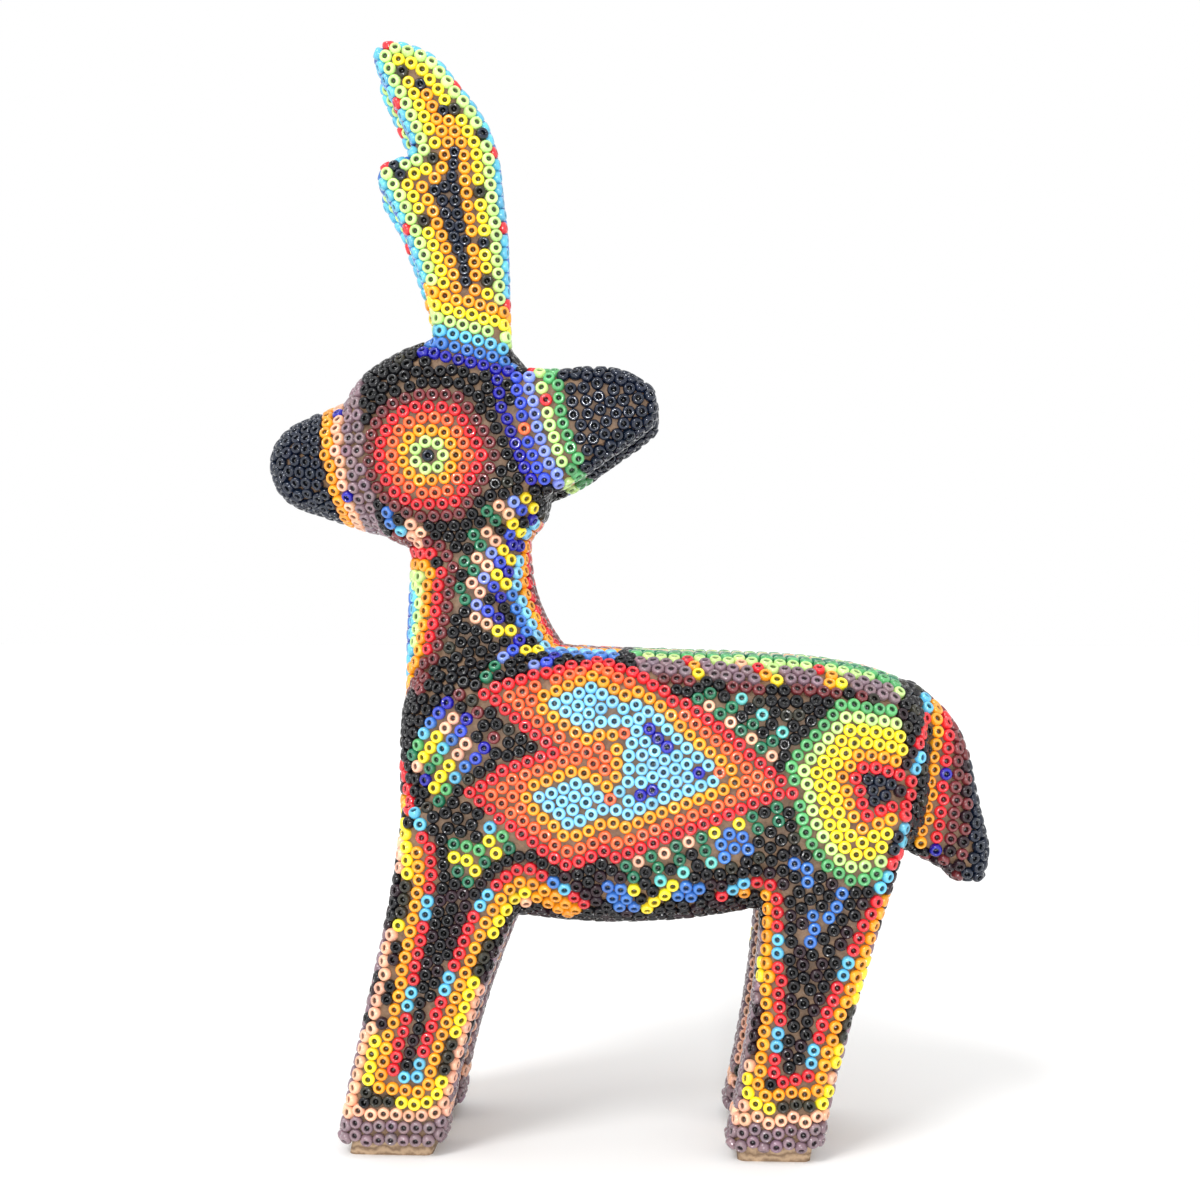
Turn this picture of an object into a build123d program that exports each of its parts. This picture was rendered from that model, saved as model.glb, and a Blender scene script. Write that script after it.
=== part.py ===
"""Beaded deer: a carved wooden deer, coated in wax, with glass seed beads pressed into the wax.

Millimetres. +Z is up, the head points along -X and the deer's left side faces -Y. The origin is on the
ground, under the middle of the figure. Every outline is drawn at the finished surface, which is the tops
of the beads, and the wax and the wood lie inside it at their own depths.
"""

import os
from math import cos, radians, sin

from build123d import *

# Layers, from the finished surface inwards
BEAD_HEIGHT = 1.4
WAX_UNDER_BEADS = 0.8
WAX_DEPTH = BEAD_HEIGHT
WOOD_DEPTH = BEAD_HEIGHT + WAX_UNDER_BEADS
BARE_FOOT = 2.0  # the hooves stay bare wood up to this height

# Sections of each part that grows along X or Z. Each row is a place on that axis, the two sides of the
# outline there, the half width across the deer and the radius of the section's corners.
TORSO = [  # places along X, sides in Z
    (-38.6, 51.0, 75.0, 8.6, 7.0),
    (-36.6, 47.0, 80.0, 12.6, 9.5),
    (-32.0, 43.0, 83.5, 15.8, 10.5),
    (-22.0, 39.8, 84.8, 17.8, 11.0),
    (-5.0, 38.0, 84.2, 18.0, 11.0),
    (14.0, 39.2, 83.6, 18.0, 11.0),
    (30.0, 42.8, 82.8, 17.4, 11.0),
    (41.0, 47.0, 81.0, 16.0, 10.5),
    (47.5, 51.0, 78.2, 13.4, 9.5),
    (50.5, 56.0, 73.0, 9.6, 7.5),
]
NECK = [  # places along Z, sides in X
    (62.0, -38.5, -2.0, 13.6, 11.0),
    (80.0, -38.5, -8.0, 12.6, 10.5),
    (88.0, -38.3, -13.6, 11.6, 9.5),
    (96.0, -38.0, -16.6, 10.8, 9.0),
    (108.0, -37.4, -16.4, 10.6, 8.8),
]
HEAD = [  # places along Z, sides in X
    (101.6, -37.5, -19.5, 8.0, 6.5),
    (103.6, -42.5, -16.5, 10.4, 8.0),
    (109.0, -46.0, -13.8, 12.4, 9.0),
    (118.0, -48.0, -13.2, 13.0, 9.5),
    (127.0, -48.6, -14.0, 12.6, 9.5),
    (131.4, -45.4, -16.8, 11.8, 8.8),
    (134.8, -40.4, -19.5, 10.2, 7.6),
    (137.0, -34.0, -23.5, 7.4, 5.2),
]
FRONT_LEG = [  # places along Z, sides in X, half width of one leg
    (0.0, -48.4, -30.0, 6.0, 3.6),
    (23.0, -43.6, -24.6, 6.4, 3.8),
    (40.0, -40.0, -18.2, 6.7, 4.0),
    (58.0, -37.6, -11.0, 6.7, 4.0),
]
REAR_LEG = [
    (0.0, 16.2, 32.6, 6.0, 3.6),
    (21.0, 20.3, 37.2, 6.4, 3.8),
    (41.0, 22.4, 42.9, 6.7, 4.0),
    (58.0, 23.0, 47.8, 6.7, 4.0),
]
EAR = [  # places along X, sides in Z, half width of one ear
    (-24.0, 114.0, 130.0, 4.6, 4.0),
    (-14.0, 110.0, 131.6, 5.0, 4.4),
    (-6.0, 114.0, 131.9, 5.0, 4.4),
    (-0.6, 117.8, 131.3, 4.6, 4.0),
    (3.0, 120.4, 129.4, 4.1, 3.6),
    (5.0, 122.2, 127.8, 3.2, 2.7),
]
TAIL = [  # places along Z, sides in X
    (78.6, 42.0, 48.6, 4.6, 3.2),
    (75.6, 41.0, 52.4, 6.4, 4.6),
    (70.0, 40.0, 56.8, 7.2, 5.4),
    (61.0, 40.0, 59.4, 7.2, 5.4),
    (53.0, 43.0, 61.2, 6.8, 5.2),
    (48.0, 50.5, 61.7, 6.0, 4.8),
    (44.4, 55.4, 60.9, 3.8, 2.6),
]
LEG_OUT = 10.5  # middle of a leg, out from the middle of the deer
EAR_OUT = 8.0
WHOLE_SECTION = 0.05  # least length of straight side left between two rounded corners

# Muzzle, the taper round two balls
CHEEK = (-42.0, 116.3)
CHEEK_RADIUS = 12.7
NOSE = (-54.6, 115.9)
NOSE_RADIUS = 8.3

# Antlers, flat forked plates. Their outline is (x, z, radius of the corner), with x from the stem's middle.
ANTLER = [
    (-6.8, 131.0, 2.6), (-7.0, 141.0, 25.0), (-12.6, 156.8, 20.0), (-17.6, 165.2, 2.6),
    (-9.8, 168.2, 2.2), (-18.6, 187.2, 2.8), (-7.5, 186.4, 12.0), (3.8, 172.0, 22.0),
    (5.9, 154.0, 40.0), (6.6, 131.0, 2.6),
]  # fmt: skip
ANTLER_STEM = {"left": -26.2, "right": -28.0}  # each stem's place along the head, as carved
ANTLER_OUT = 6.8
ANTLER_SPLAY = 6.0  # degrees that the front edges turn apart
ANTLER_HALF_WIDTH = 4.4
ANTLER_EDGE = 2.5

# Pegs that hold the antlers, ears and tail, glued into blind bores
PEG_RADIUS = 1.1
PEG_LENGTH = 13.0
PEG_GAP = 0.05
BORE_SPARE = 0.5  # air past each end of a peg

# Beaded designs on the deer's sides, as (x, z)
EYE = (-33.1, 116.6)
EYE_RADIUS = 11.9
FISH = [(-26.0, 77.5), (-7.0, 83.5), (28.5, 61.5), (-10.0, 46.5), (-28.5, 60.5), (-15.0, 69.0)]
FLOWER = [(25.5, 62.5), (31.0, 75.0), (48.5, 75.0), (48.5, 47.5), (36.0, 47.5)]

SIDES = {"left": -1, "right": 1}
FAR = 150.0  # beyond the figure in every direction


def stack(rows, inset, plane_at, out=0.0, start=0.0, end=0.0):
    """A solid through rounded sections, each drawn this far inside the finished surface.

    The places of the first and last sections move inwards by start and end, and those between in
    proportion, so a part keeps its order of sections however deep the layer is.
    """
    first = rows[0][0]
    last = rows[-1][0]
    step = 1 if last > first else -1
    shrink = (abs(last - first) - start - end) / abs(last - first)
    with BuildPart() as solid:
        for place, low, high, half_width, corner in rows:
            with BuildSketch(plane_at(first + step * start + (place - first) * shrink)):
                with Locations(((low + high) / 2, out)):
                    width = high - low - 2 * inset
                    across = 2 * (half_width - inset)
                    most = (min(width, across) - WHOLE_SECTION) / 2
                    RectangleRounded(width, across, min(most, max(corner - inset, 0.5)))
        loft()
    return solid.part


def along_x(x):
    """A section across the body at this x: its own x is up and its own y is across."""
    return Plane(origin=(x, 0, 0), x_dir=(0, 0, 1), z_dir=(-1, 0, 0))


def along_z(z):
    return Plane.XY.offset(z)


def muzzle(inset):
    run = CHEEK[0] - NOSE[0]
    rise = CHEEK[1] - NOSE[1]
    upper_half = Plane(origin=NOSE, x_dir=(run, rise, 0), z_dir=(-rise, run, 0))
    with BuildPart() as solid:
        with BuildSketch(Plane.XZ):
            with Locations(CHEEK):
                Circle(CHEEK_RADIUS - inset)
            with Locations(NOSE):
                Circle(NOSE_RADIUS - inset)
            make_hull()
            split(bisect_by=upper_half)
        revolve(axis=Axis((NOSE[0], 0, NOSE[1]), (run, 0, rise)))
    return solid.part


def leg(rows, side, inset, foot):
    """One leg. The wood of a hoof reaches the ground, and the layers on it start a little higher."""
    return stack(rows, inset, along_z, out=side * LEG_OUT, start=foot)


def carved_shape(inset, foot):
    """Torso, neck, head, muzzle and legs, which are carved from one block."""
    with BuildPart() as shape:
        add(stack(TORSO, inset, along_x, start=inset, end=inset))
        add(stack(NECK, inset, along_z))
        add(stack(HEAD, inset, along_z, start=inset, end=inset))
        add(muzzle(inset))
        for side in SIDES.values():
            add(leg(FRONT_LEG, side, inset, foot))
            add(leg(REAR_LEG, side, inset, foot))
    return shape.part


def antler(word, inset):
    lean = -SIDES[word] * sin(radians(ANTLER_SPLAY))
    level = cos(radians(ANTLER_SPLAY))
    stem = (ANTLER_STEM[word], SIDES[word] * ANTLER_OUT, 0)
    plate = Plane(origin=stem, x_dir=(level, lean, 0), z_dir=(lean, -level, 0))
    corners = [(x, z) for x, z, _ in ANTLER]
    with BuildPart() as solid:
        with BuildSketch(plate):
            with BuildLine():
                FilletPolyline(*corners, radius=[radius for _, _, radius in ANTLER], close=True)
            make_face()
            if inset:
                offset(amount=-inset)
        extrude(amount=ANTLER_HALF_WIDTH - inset, both=True)
        fillet(solid.faces().filter_by(plate).edges(), radius=ANTLER_EDGE - inset)
    return solid.part


def ear(side, inset):
    return stack(EAR, inset, along_x, out=side * EAR_OUT, end=inset)


def tail(inset):
    return stack(TAIL, inset, along_z, start=inset, end=inset)


def whole_shape(inset):
    """The whole deer at this depth below the finished surface, down to the bare hooves."""
    with BuildPart() as shape:
        add(carved_shape(inset, BARE_FOOT))
        add(tail(inset))
        for word, side in SIDES.items():
            add(antler(word, inset))
            add(ear(side, inset))
    return shape.part


def peg(start, direction, radius, spare):
    """A round peg or its bore, which is spare longer at both ends."""
    with BuildPart() as solid:
        with BuildSketch(Plane(origin=start, z_dir=direction).offset(-spare)):
            Circle(radius)
        extrude(amount=PEG_LENGTH + 2 * spare)
    return solid.part


def region(points, near, far, middle=None, radius=None):
    """A prism or, given a middle and radius, a cylinder through a side of the deer, from near to far in y."""
    with BuildPart() as solid:
        with BuildSketch(Plane.XZ.offset(-near)):
            if points:
                Polygon(*points, align=None)
            else:
                with Locations(middle):
                    Circle(radius)
        extrude(amount=near - far)
    return solid.part


def band(x=(-FAR, FAR), z=(-FAR, 2 * FAR)):
    """The corners of an upright rectangle in a side view, from its sides."""
    return [(x[0], z[0]), (x[1], z[0]), (x[1], z[1]), (x[0], z[1])]


def both_sides(name, points=None, inner=0.0, middle=None, radius=None):
    """A zone of beads on the left side and its twin on the right, each from this far off the middle."""
    return {
        f"{name}_{word}": region(points, side * inner, side * FAR, middle, radius)
        for word, side in SIDES.items()
    }


def across(name, points):
    return {name: region(points, -FAR, FAR)}


# The carved wood and what is pegged to it
body_wood = carved_shape(WOOD_DEPTH, 0.0)
pegged_wood = {
    "antler_left": antler("left", WOOD_DEPTH),
    "antler_right": antler("right", WOOD_DEPTH),
    "ear_left": ear(-1, WOOD_DEPTH),
    "ear_right": ear(1, WOOD_DEPTH),
    "tail": tail(WOOD_DEPTH),
}
PEG_STARTS = {
    "antler_left": ((ANTLER_STEM["left"], -ANTLER_OUT, 127.0), (0, 0, 1)),
    "antler_right": ((ANTLER_STEM["right"], ANTLER_OUT, 127.0), (0, 0, 1)),
    "ear_left": ((-23.0, -EAR_OUT, 121.0), (1, 0, 0)),
    "ear_right": ((-23.0, EAR_OUT, 121.0), (1, 0, 0)),
    "tail": ((41.0, 0.0, 64.0), (1, 0, 0)),
}
pegs = {name: peg(*place, PEG_RADIUS, 0.0) for name, place in PEG_STARTS.items()}
bores = {name: peg(*place, PEG_RADIUS + PEG_GAP, BORE_SPARE) for name, place in PEG_STARTS.items()}

with BuildPart() as carved_body:
    add(body_wood)
    for bore in bores.values():
        add(bore, mode=Mode.SUBTRACT)
pieces = {"carved_body": carved_body.part}

for name, wood in pegged_wood.items():
    with BuildPart() as pegged:
        add(wood)
        add(body_wood, mode=Mode.SUBTRACT)
        add(bores[name], mode=Mode.SUBTRACT)
    pieces[f"{name}_wood"] = pegged.part
    pieces[f"{name}_peg"] = pegs[name]

# The wax, over all the wood but the hooves
with BuildPart() as whole_wood:
    add(body_wood)
    for wood in pegged_wood.values():
        add(wood)
whole_wax = whole_shape(WAX_DEPTH)
with BuildPart() as wax_coat:
    add(whole_wax)
    add(whole_wood.part, mode=Mode.SUBTRACT)
pieces["wax_coat"] = wax_coat.part

# The layer of beads, cut into its zones. A zone takes what is left in its region, in this order.
with BuildPart() as bead_layer:
    add(whole_shape(0.0))
    add(whole_wax, mode=Mode.SUBTRACT)

zones = {}
zones |= both_sides("beads_antler", band(z=(138.0, 2 * FAR)))
zones |= across("beads_nose", band(x=(-FAR, -51.5), z=(100.0, FAR)))
zones |= both_sides("beads_eye", inner=4.0, middle=EYE, radius=EYE_RADIUS)
zones |= across("beads_muzzle", band(x=(-FAR, -43.5), z=(100.0, 128.0)))
zones |= both_sides(
    "beads_ear", [(-12.0, 106.5), (-15.5, 120.0), (-18.5, 134.0), (9.0, 136.0), (9.0, 117.0)], inner=1.5
)
zones |= across("beads_head", band(z=(104.0, 2 * FAR)))
zones |= across("beads_throat", band(x=(-FAR, -34.5), z=(60.0, FAR)))
zones |= across("beads_nape", band(x=(-21.0, FAR), z=(85.5, FAR)))
zones |= both_sides("beads_neck", band(x=(-FAR, -12.0), z=(80.0, FAR)))
zones |= across("beads_tail", band(x=(50.5, FAR), z=(40.0, FAR)))
zones |= across("beads_back", band(z=(78.5, FAR)))
zones |= both_sides("beads_fish", FISH)
zones |= both_sides("beads_flower", FLOWER)
zones |= both_sides("beads_shoulder", band(x=(-FAR, -21.0), z=(50.0, FAR)))
zones |= both_sides("beads_foreleg", band(x=(-FAR, -13.0), z=(0.0, 50.0)))
zones |= both_sides("beads_hindleg", band(x=(20.0, FAR), z=(0.0, 46.5)))
zones |= across("beads_belly", band(z=(0.0, 43.5)))
zones |= both_sides("beads_side", band())

beads_left_over = bead_layer.part
for name, zone in zones.items():
    with BuildPart() as beads:
        add(beads_left_over)
        add(zone, mode=Mode.INTERSECT)
    with BuildPart() as others:
        add(beads_left_over)
        add(zone, mode=Mode.SUBTRACT)
    pieces[name] = beads.part
    beads_left_over = others.part

os.makedirs("parts", exist_ok=True)
for name, piece in pieces.items():
    piece.label = name
    export_step(piece, f"parts/{name}.step")
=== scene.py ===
"""The looks of the beaded deer: thousands of glass seed beads, pressed one by one into a coat of wax.

The layout works in millimetres. A skin is wrapped round the CAD model, rows of beads are laid on it in the
deer's designs, the rest is filled with loose beads, and the beads are then shaped and joined by their zone.
"""

from math import cos, pi, radians, sin

import bpy
import numpy as np
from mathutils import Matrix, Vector, kdtree
from mathutils.bvhtree import BVHTree


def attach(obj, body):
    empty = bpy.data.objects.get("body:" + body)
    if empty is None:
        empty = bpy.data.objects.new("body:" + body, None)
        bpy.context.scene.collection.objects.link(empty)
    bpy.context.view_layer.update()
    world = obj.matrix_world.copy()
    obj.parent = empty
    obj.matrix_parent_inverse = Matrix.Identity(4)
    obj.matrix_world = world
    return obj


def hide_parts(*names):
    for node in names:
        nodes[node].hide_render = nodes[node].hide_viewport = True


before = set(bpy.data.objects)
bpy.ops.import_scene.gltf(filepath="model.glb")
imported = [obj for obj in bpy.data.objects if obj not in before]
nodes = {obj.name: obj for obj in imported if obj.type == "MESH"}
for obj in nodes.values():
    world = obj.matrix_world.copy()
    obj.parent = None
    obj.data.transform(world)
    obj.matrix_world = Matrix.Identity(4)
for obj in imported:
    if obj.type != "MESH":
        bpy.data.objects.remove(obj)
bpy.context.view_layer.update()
MM = 0.001
rng = np.random.default_rng(11)

# Beads and how they lie, in millimetres
BEAD = 2.2  # across
PITCH = BEAD  # from bead to bead along a row
ROW = 1.93  # from row to row, nested
SINK = 0.7  # a bead's middle, below the finished surface
TOUCH = 1.66  # no bead of a design is laid closer than this to another
CLASH = 1.6  # of two beads that settle closer than this, the looser one is left out
BARE_HOOF = 2.6  # no bead's middle is lower than this
OFF_SKIN = 1.5  # a place further than this from the skin gets no bead
FIRM = 0.12  # how much a bead of a design gives way to its neighbours
LOOSE = 1.0  # and a bead that fills in between the designs
SKIN_VOXEL = 0.6
FINE = 0.35  # step of a line that is worked out before beads are laid along it
SIDES = {"left": -1, "right": 1}
UP, LEFT, FORWARD, BACKWARD = (0, 0, 1), (0, -1, 0), (-1, 0, 0), (1, 0, 0)

# Bead colours, linear RGB, and the kind of glass
PALETTE = {
    "black": ((0.006, 0.006, 0.008), "dark"),
    "smoky": ((0.030, 0.028, 0.020), "dark"),
    "aubergine": ((0.022, 0.010, 0.015), "dark"),
    "maroon": ((0.150, 0.022, 0.026), "glass"),
    "mauve": ((0.215, 0.140, 0.165), "pearl"),
    "navy": ((0.006, 0.011, 0.026), "iris"),
    "red": ((0.690, 0.018, 0.028), "glass"),
    "orange": ((0.880, 0.130, 0.036), "glass"),
    "amber": ((0.900, 0.330, 0.012), "glass"),
    "yellow": ((0.970, 0.740, 0.025), "glass"),
    "lime": ((0.520, 0.760, 0.250), "glass"),
    "green": ((0.090, 0.370, 0.130), "glass"),
    "teal": ((0.012, 0.150, 0.075), "glass"),
    "turquoise": ((0.130, 0.540, 0.480), "glass"),
    "sky": ((0.210, 0.540, 0.780), "glass"),
    "cyan": ((0.110, 0.460, 0.680), "glass"),
    "blue": ((0.045, 0.170, 0.530), "glass"),
    "cobalt": ((0.035, 0.070, 0.560), "glass"),
    "ink": ((0.010, 0.008, 0.330), "glass"),
    "peri": ((0.190, 0.260, 0.710), "glass"),
    "peach": ((0.830, 0.430, 0.280), "pearl"),
}


def make_mesh(name, places, faces):
    """A mesh from arrays of points and of faces, each face with the same number of corners."""
    mesh = bpy.data.meshes.new(name)
    mesh.vertices.add(len(places))
    mesh.vertices.foreach_set("co", np.asarray(places, np.float32).ravel())
    mesh.loops.add(faces.size)
    mesh.loops.foreach_set("vertex_index", faces.astype(np.int32).ravel())
    mesh.polygons.add(len(faces))
    mesh.polygons.foreach_set("loop_start", np.arange(0, faces.size, faces.shape[1], dtype=np.int32))
    mesh.update(calc_edges=True)
    return mesh


def smooth(mesh):
    mesh.polygons.foreach_set("use_smooth", np.ones(len(mesh.polygons), bool))


def points_of(mesh):
    places = np.empty(len(mesh.vertices) * 3, np.float32)
    mesh.vertices.foreach_get("co", places)
    return places.reshape(-1, 3).astype(float)


def triangles_of(mesh):
    mesh.calc_loop_triangles()
    corners = np.empty(len(mesh.loop_triangles) * 3, np.int32)
    mesh.loop_triangles.foreach_get("vertices", corners)
    return corners.reshape(-1, 3)


def add_object(name, data):
    piece = bpy.data.objects.new(name, data)
    bpy.context.scene.collection.objects.link(piece)
    return piece


# ---- the skin ----


def wrapped(node_list, voxel):
    """One closed quad mesh round all these nodes, in millimetres: its points and its quads."""
    places, corners, count = [], [], 0
    for node in node_list:
        points = points_of(node.data) / MM
        places.append(points)
        corners.append(triangles_of(node.data) + count)
        count += len(points)
    rough = add_object("rough", make_mesh("rough", np.concatenate(places), np.concatenate(corners)))
    remesh = rough.modifiers.new("remesh", "REMESH")
    remesh.mode = "VOXEL"
    remesh.voxel_size = voxel
    graph = bpy.context.evaluated_depsgraph_get()
    mesh = bpy.data.meshes.new_from_object(rough.evaluated_get(graph))
    points = points_of(mesh)
    quads = np.empty(len(mesh.loops), np.int32)
    mesh.loops.foreach_get("vertex_index", quads)
    bpy.data.objects.remove(rough)
    return outer_part(points, quads.reshape(-1, 4))


def edges_of(quads):
    return np.concatenate([quads[:, [0, 1]], quads[:, [1, 2]], quads[:, [2, 3]], quads[:, [3, 0]]])


def outer_part(points, quads):
    """Only what is joined to the highest point, without the hollows inside."""
    edges = edges_of(quads)
    reached = np.zeros(len(points), bool)
    reached[points[:, 2].argmax()] = True
    total = 0
    while reached.sum() > total:
        total = reached.sum()
        for _ in range(20):
            reached[edges[reached[edges[:, 0]], 1]] = True
            reached[edges[reached[edges[:, 1]], 0]] = True
    number = np.cumsum(reached) - 1
    return points[reached], number[quads[reached[quads].all(1)]]


def averaged(values, quads, times, share):
    """Each point's value moves towards the mean of its neighbours' values."""
    here, there = edges_of(quads).T
    neighbours = np.bincount(here, minlength=len(values))[:, None]
    for _ in range(times):
        total = np.stack([np.bincount(here, values[there, i], len(values)) for i in range(3)], 1)
        values = values + share * (total / neighbours - values)
    return values


def unit(vectors):
    return vectors / np.maximum(np.linalg.norm(vectors, axis=-1, keepdims=True), 1e-9)


def normals_of(points, quads):
    a, b, c, d = (points[quads[:, i]] for i in range(4))
    across = np.repeat(np.cross(c - a, d - b), 4, axis=0)
    total = np.stack([np.bincount(quads.ravel(), across[:, i], len(points)) for i in range(3)], 1)
    return unit(total)


def tree_of(points, faces):
    return BVHTree.FromPolygons([tuple(p) for p in points], faces.tolist())


skin_points, skin_quads = wrapped(nodes.values(), SKIN_VOXEL)
skin_points = averaged(skin_points, skin_quads, 5, 0.5)
skin_normals = unit(averaged(normals_of(skin_points, skin_quads), skin_quads, 4, 0.6))
skin_triangles = np.concatenate([skin_quads[:, [0, 1, 2]], skin_quads[:, [0, 2, 3]]])
quad_normals = unit(skin_normals[skin_quads].sum(1))
skin = tree_of(skin_points, skin_quads)


def touch(point):
    """The nearest place on the skin, and the way out of it there."""
    place, _, face, _ = skin.find_nearest(Vector(point))
    return np.array(place), quad_normals[face]


def flank(x, z, side):
    """The place on a side of the deer with this x and z, or None past its outline."""
    place, _, _, _ = skin.ray_cast(Vector((x, side * 60.0, z)), Vector((0, -side, 0)))
    return None if place is None else np.array(place)


# ---- laying the beads ----

beads = []  # each one [middle, way out, colour, how much it gives way]
cells = {}  # the numbers of the beads in each cell of space
CELL = 2.5  # across a cell, more than any reach that is asked for


def cell_of(point):
    return tuple(int(v // CELL) for v in point)


def crowded(middle, reach):
    """Whether a bead already lies within this reach."""
    home = cell_of(middle)
    for i in (-1, 0, 1):
        for j in (-1, 0, 1):
            for k in (-1, 0, 1):
                for index in cells.get((home[0] + i, home[1] + j, home[2] + k), ()):
                    if np.linalg.norm(beads[index][0] - middle) < reach:
                        return True
    return False


def lay(point, colour, give=FIRM, reach=TOUCH):
    """Presses one bead into the wax at the skin place nearest to a point, if there is room."""
    place, out = touch(point)
    if np.linalg.norm(place - point) > OFF_SKIN:
        return
    middle = place - SINK * out
    if middle[2] < BARE_HOOF or crowded(middle, reach):
        return
    cells.setdefault(cell_of(middle), []).append(len(beads))
    beads.append([middle, out, colour, give])


def lengths_along(path):
    """How far along a path each of its points is."""
    return np.concatenate([[0], np.cumsum(np.linalg.norm(np.diff(path, axis=0), axis=1))])


def spaced(path, pitch, closed=False):
    """Places evenly along a path in space, about one pitch apart."""
    path = np.asarray(path, float)
    if closed:
        path = np.concatenate([path, path[:1]])
    lengths = lengths_along(path)
    count = max(1, round(lengths[-1] / pitch))
    at = np.linspace(0, lengths[-1], count + 1)
    if closed:
        at = at[:-1]
    return np.stack([np.interp(at, lengths, path[:, i]) for i in range(path.shape[1])], 1)


def words(colours):
    """A list of colours from words such as 'red*5 cyan*2'."""
    found = []
    for word in colours.split():
        name, _, times = word.partition("*")
        found += [name] * int(times or 1)
    return found


def split_at_gaps(points, gap):
    """A line's points as stretches, cut wherever two neighbours are further apart than this."""
    stretches, current = [], []
    for point in points:
        if current and np.linalg.norm(point - current[-1]) > gap:
            stretches.append(current)
            current = []
        current.append(point)
    stretches.append(current)
    return stretches


def lay_row(path, colours, closed=False, start=0, give=FIRM):
    """A row of beads along a path in space, whose colours repeat."""
    repeat = words(colours)
    for number, point in enumerate(spaced(path, PITCH, closed)):
        lay(point, repeat[(number + start) % len(repeat)], give)


def on_flank(outline, side):
    """A line drawn on the side view, laid on a side of the deer: its stretches in space."""
    step = 0.4
    stretches, current = [], []
    for x, z in spaced(outline, step):
        place = flank(x, z, side)
        if place is None or (current and np.linalg.norm(place - current[-1]) > 4 * step):
            stretches.append(current)
            current = [] if place is None else [place]
        else:
            current.append(place)
    stretches.append(current)
    return [np.array(s) for s in stretches if len(s) > 2]


def side_row(outline, colours, start=0, give=FIRM, closed=False):
    """The same row of beads on both sides of the deer."""
    points = list(outline) + ([outline[0]] if closed else [])
    for side in SIDES.values():
        for stretch in on_flank(points, side):
            lay_row(stretch, colours, False, start, give)


def curve(points):
    """A smooth line through a few points in a side view (Catmull-Rom)."""
    steps = 8
    p = np.array([points[0], *points, points[-1]], float)
    line = []
    for a, b, c, d in zip(p, p[1:], p[2:], p[3:]):
        square = 2 * a - 5 * b + 4 * c - d
        cube = 3 * b - a - 3 * c + d
        for t in np.linspace(0, 1, steps, endpoint=False):
            line.append(0.5 * (2 * b + (c - a) * t + square * t**2 + cube * t**3))
    return np.array(line + [p[-1]])


# Sections of the skin


def loop_of(origin, normal, near):
    """The closed line where a plane cuts the skin: of all such lines, the one nearest to a point."""
    origin, normal = np.asarray(origin, float), unit(np.asarray(normal, float))
    height = (skin_points - origin) @ normal
    above = height > 0
    cut = above[skin_triangles].sum(1) % 3 != 0
    joins, crossings = {}, {}
    for a, b, c in skin_triangles[cut]:
        keys = []
        for first, second in ((a, b), (b, c), (c, a)):
            if above[first] != above[second]:
                key = (min(first, second), max(first, second))
                share = height[key[0]] / (height[key[0]] - height[key[1]])
                crossings[key] = skin_points[key[0]] * (1 - share) + skin_points[key[1]] * share
                keys.append(key)
        joins.setdefault(keys[0], []).append(keys[1])
        joins.setdefault(keys[1], []).append(keys[0])
    near = np.asarray(near, float)
    first = min(crossings, key=lambda k: ((crossings[k] - near) ** 2).sum())
    line, last, here = [crossings[first]], None, first
    while True:
        ahead = [k for k in joins[here] if k != last]
        if not ahead or ahead[0] == first:
            break
        last, here = here, ahead[0]
        line.append(crossings[here])
    return np.array(line)


def belt(origin, normal, near, zero, ahead):
    """A section's line as a function of the way round it from the point that is furthest towards zero.

    The way round grows in the direction ahead. Returns the function and the whole way round.
    """
    flat = 0.12  # the start is the middle of all the points that are within this of the furthest
    line = loop_of(origin, normal, near)
    reach = line @ np.asarray(zero, float)
    furthest = line[reach > reach.max() - flat].mean(0)
    start = int(((line - furthest) ** 2).sum(1).argmin())
    line = np.roll(line, -start, axis=0)
    if (line[len(line) // 8] - line[0]) @ np.asarray(ahead, float) < 0:
        line = np.roll(line[::-1], 1, axis=0)
    line = np.concatenate([line, line[:1]])
    way = lengths_along(line)

    def place(s):
        return np.array([np.interp(s % way[-1], way, line[:, i]) for i in range(3)])

    return place, way[-1]


def lay_belt(origin, normal, near, colours, zero=LEFT):
    """A closed row of beads round a part, where a plane cuts it."""
    place, way = belt(origin, normal, near, zero, UP)
    count = round(way / PITCH)
    repeat = words(colours)
    for number in range(count):
        lay(place(number * way / count), repeat[number % len(repeat)])


def columns(stations, plan, signs=(-1, 1)):
    """Rows lengthwise over a run of sections. The plan gives each row's way round and its colours.

    A row at 0 is the middle one, and any other is laid once for each sign.
    """
    for way, colours in plan:
        for sign in signs if way else (1,):
            lay_row([place(sign * way) for place, _ in stations], colours)


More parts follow.
